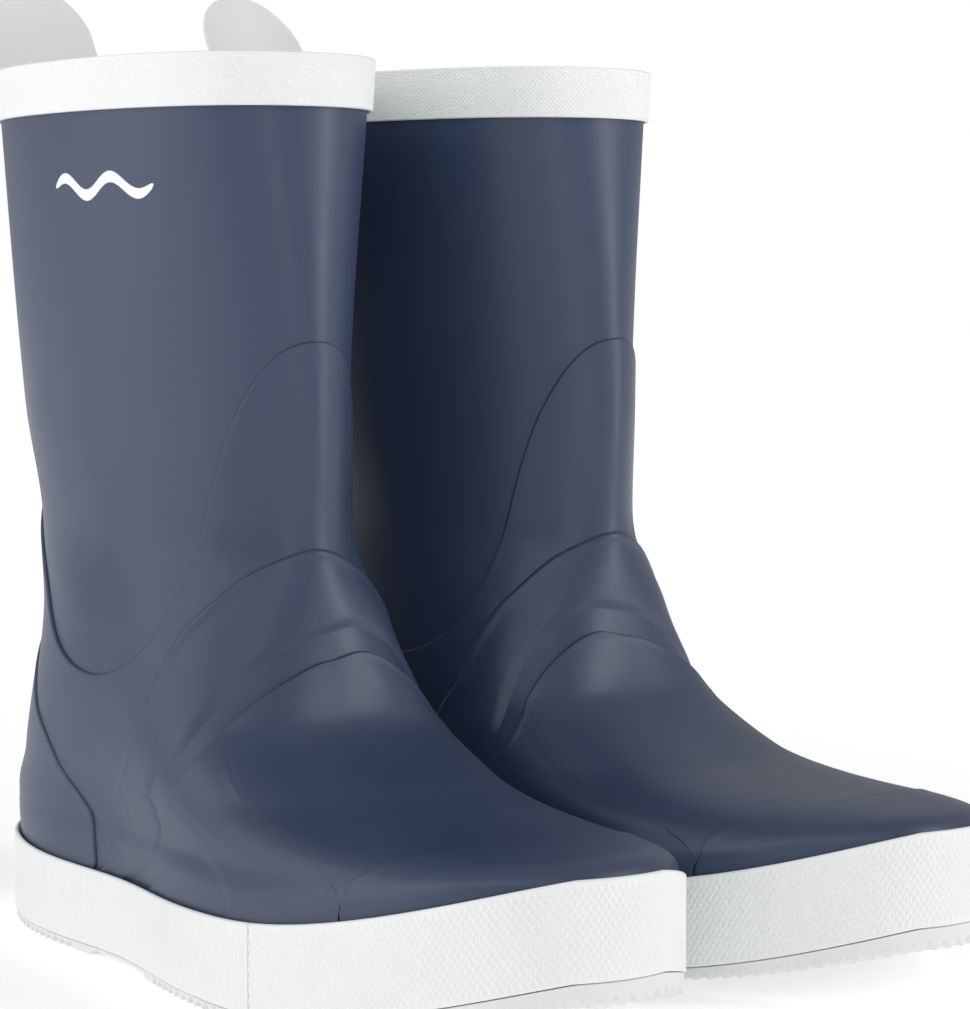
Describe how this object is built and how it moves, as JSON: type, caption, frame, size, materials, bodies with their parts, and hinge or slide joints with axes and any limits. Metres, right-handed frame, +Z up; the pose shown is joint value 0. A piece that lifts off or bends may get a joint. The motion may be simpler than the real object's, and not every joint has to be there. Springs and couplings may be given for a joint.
{
  "type": "deck boots",
  "caption": "Pair of calf-height rubber deck boots with a white rim band and foxing, foot overlays, pull tabs and removable footbeds.",
  "frame": {"origin": "on the ground, in the middle of the pair's own box", "axes": "+X towards the toes, +Y towards the left boot, +Z up"},
  "size_m": [0.3546, 0.2428, 0.321],
  "materials": {
    "navy_rubber": "semi-matte vulcanised rubber",
    "white_rubber": "matte rubber with a fine pressed texture",
    "sole_rubber": "matte non-marking rubber",
    "print": "flat screen print",
    "knit_lining": "knitted",
    "footbed_foam": "cloth-covered foam",
    "board": "pressed fibre board",
    "sponge": "sponge rubber",
    "steel": "rolled"
  },
  "bodies": {
    "right_boot": {"right_upper": "navy_rubber", "right_lining": "knit_lining", "right_galosh": "navy_rubber", "right_heel_counter": "navy_rubber", "right_instep_strap": "navy_rubber", "right_vamp": "navy_rubber", "right_toe_cap": "navy_rubber", "right_side_print": "print", "right_rim_band": "white_rubber", "right_pull_tab_foot": "white_rubber", "right_heel_foxing": "white_rubber", "right_toe_bumper": "white_rubber", "right_outsole": "sole_rubber", "right_sole_filler": "sponge", "right_shank": "steel", "right_insole_board": "board"},
    "right_footbed_body": {"right_footbed": "footbed_foam"},
    "right_tab_body": {"right_pull_tab": "white_rubber"},
    "left_boot": {"left_upper": "navy_rubber", "left_lining": "knit_lining", "left_galosh": "navy_rubber", "left_heel_counter": "navy_rubber", "left_instep_strap": "navy_rubber", "left_vamp": "navy_rubber", "left_toe_cap": "navy_rubber", "left_side_print": "print", "left_rim_band": "white_rubber", "left_pull_tab_foot": "white_rubber", "left_heel_foxing": "white_rubber", "left_toe_bumper": "white_rubber", "left_outsole": "sole_rubber", "left_sole_filler": "sponge", "left_shank": "steel", "left_insole_board": "board"},
    "left_footbed_body": {"left_footbed": "footbed_foam"},
    "left_tab_body": {"left_pull_tab": "white_rubber"}
  },
  "joints": [
    {"name": "left_boot_lift", "type": "slide", "parent": "right_boot", "child": "left_boot", "axis": [0, 0, 1], "range_m": [0, 0.25]},
    {"name": "right_footbed_lift", "type": "hinge", "parent": "right_boot", "child": "right_footbed_body", "pos_m": [0.16794, -0.07129, 0.0298], "axis": [0.0732, 0.9973, 0], "range_deg": [0, 3.5]},
    {"name": "right_tab_flex", "type": "hinge", "parent": "right_boot", "child": "right_tab_body", "pos_m": [-0.1529, -0.04773, 0.276], "axis": [0.0732, 0.9973, 0], "range_deg": [-50, 8], "stiffness_Nm_per_rad": 0.1},
    {"name": "left_footbed_lift", "type": "hinge", "parent": "left_boot", "child": "left_footbed_body", "pos_m": [0.16794, 0.07129, 0.0298], "axis": [-0.0732, 0.9973, 0], "range_deg": [0, 3.5]},
    {"name": "left_tab_flex", "type": "hinge", "parent": "left_boot", "child": "left_tab_body", "pos_m": [-0.1529, 0.04773, 0.276], "axis": [-0.0732, 0.9973, 0], "range_deg": [-50, 8], "stiffness_Nm_per_rad": 0.1}
  ]
}
